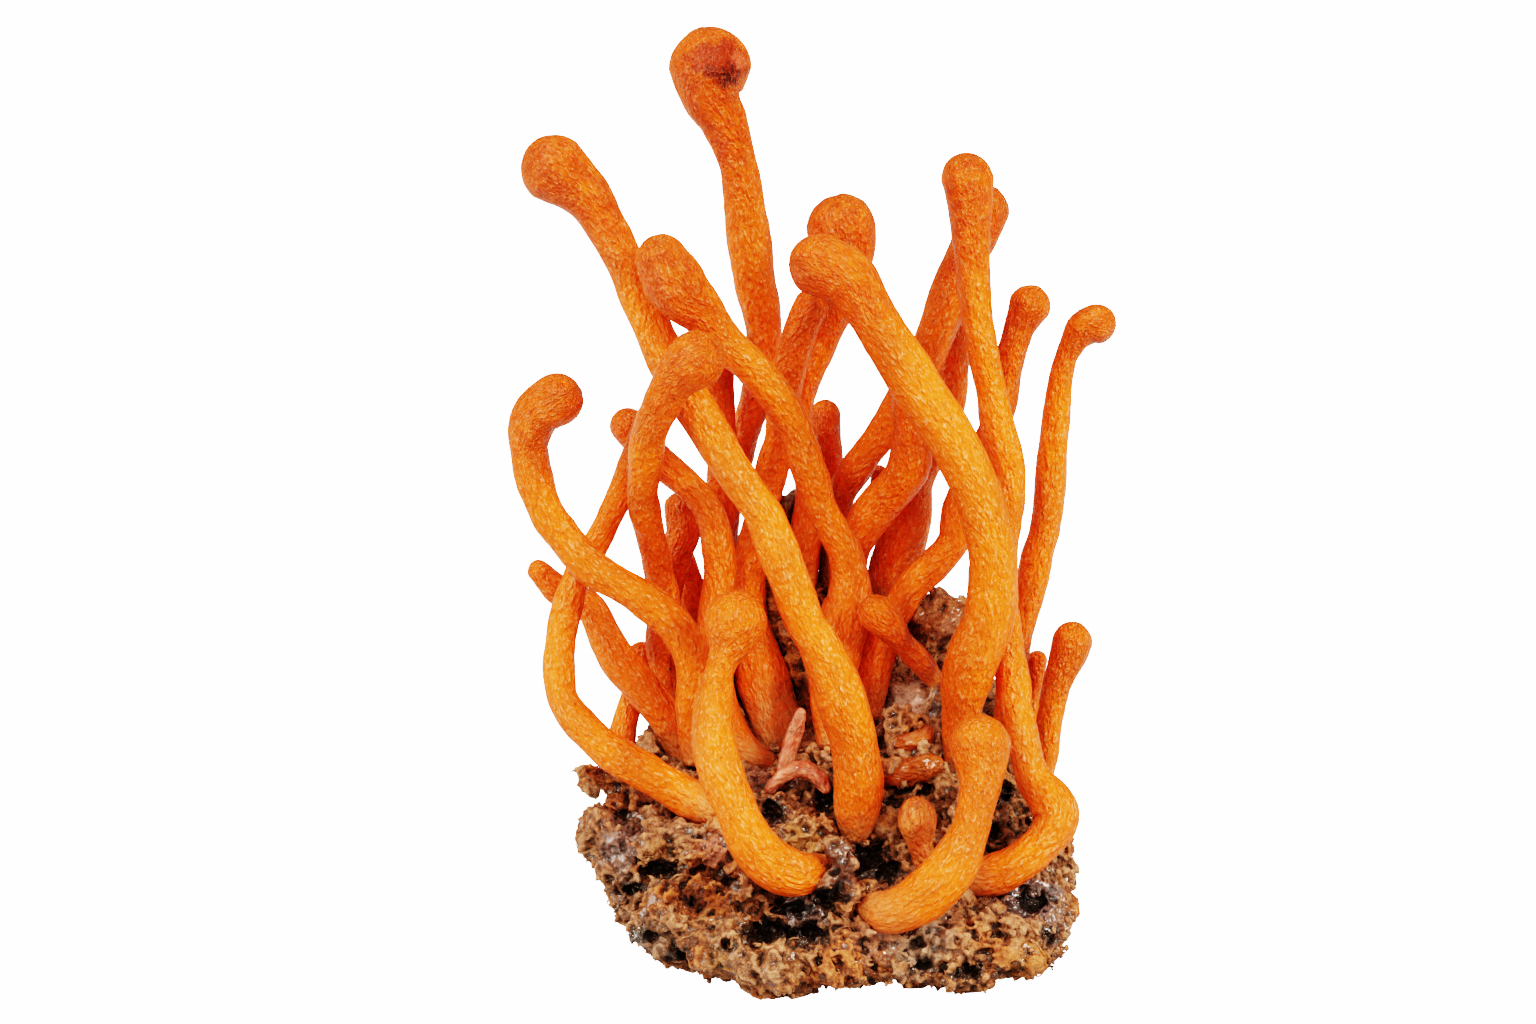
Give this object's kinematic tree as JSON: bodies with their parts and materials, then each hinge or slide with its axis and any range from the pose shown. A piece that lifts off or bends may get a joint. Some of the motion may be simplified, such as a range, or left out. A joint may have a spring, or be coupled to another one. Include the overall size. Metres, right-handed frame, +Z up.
{
  "type": "cordyceps bunch",
  "caption": "Bunch of orange club fungi with round heads on bent stalks, growing from a crumbly brown lump that stands on a flat cut.",
  "frame": {"origin": "middle of the flat cut under the lump", "axes": "+Z up along the bunch, -Y towards the side that the picture shows"},
  "size_m": [0.0479, 0.0353, 0.0724],
  "materials": {
    "growing_medium": null,
    "orange_club": null,
    "pink_growth": null
  },
  "bodies": {
    "root": {"substrate": "growing_medium", "tallest_club": "orange_club", "far_left_club": "orange_club", "leaning_club": "orange_club", "crook_club": "orange_club", "hooked_club": "orange_club", "crossing_club": "orange_club", "bowed_club": "orange_club", "low_left_club": "orange_club", "low_left_pin": "orange_club", "shaded_club": "orange_club", "shaded_inner_club": "orange_club", "rear_left_club": "orange_club", "rear_centre_club": "orange_club", "round_topped_club": "orange_club", "rear_stub_club": "orange_club", "rear_pin": "orange_club", "rear_bent_club": "orange_club", "centre_short_club": "orange_club", "thick_diagonal_club": "orange_club", "long_right_club": "orange_club", "rear_right_club": "orange_club", "hidden_right_club": "orange_club", "right_crossing_club": "orange_club", "far_right_club": "orange_club", "low_right_club": "orange_club", "low_right_pin": "orange_club", "front_left_club": "orange_club", "front_right_club": "orange_club", "front_stub": "orange_club", "wet_root_lobe": "orange_club", "wet_root_ridge": "orange_club", "pink_stalk": "pink_growth", "pink_finger": "pink_growth"}
  },
  "joints": []
}
